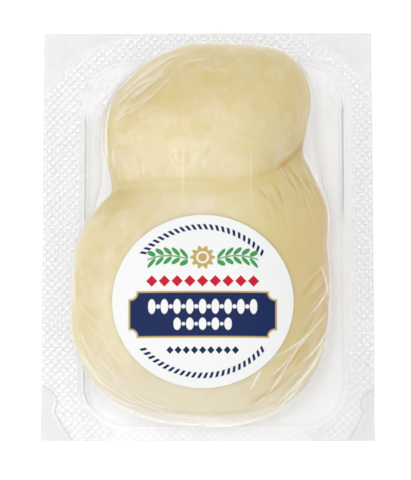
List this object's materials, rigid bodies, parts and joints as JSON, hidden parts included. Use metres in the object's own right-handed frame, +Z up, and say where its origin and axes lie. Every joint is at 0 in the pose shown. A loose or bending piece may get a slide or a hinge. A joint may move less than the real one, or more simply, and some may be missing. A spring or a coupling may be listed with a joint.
{
  "type": "vacuum-packed scamorza cheese",
  "caption": "Pear-shaped scamorza cheese with a pinched neck, vacuum packed between a flat back film and a formed clear film with a flat sealed border, and a round paper label on top.",
  "frame": {"origin": "under the middle of the sealed border, on the face of the back film that the pack lies on", "axes": "+X across the pack to the right, +Y along the pack towards the cheese's head, +Z up from the back film to the label"},
  "size_m": [0.096, 0.119, 0.0443],
  "materials": {
    "cheese": "smooth, moist, pale cream cheese with faint mottling",
    "film": "clear glossy packing film, dimpled along the sealed border",
    "label": "coated white paper with plain printed shapes"
  },
  "bodies": {
    "root": {"back_film": "film", "cheese": "cheese", "formed_film": "film", "sealed_border": "film", "label": "label"}
  },
  "joints": []
}
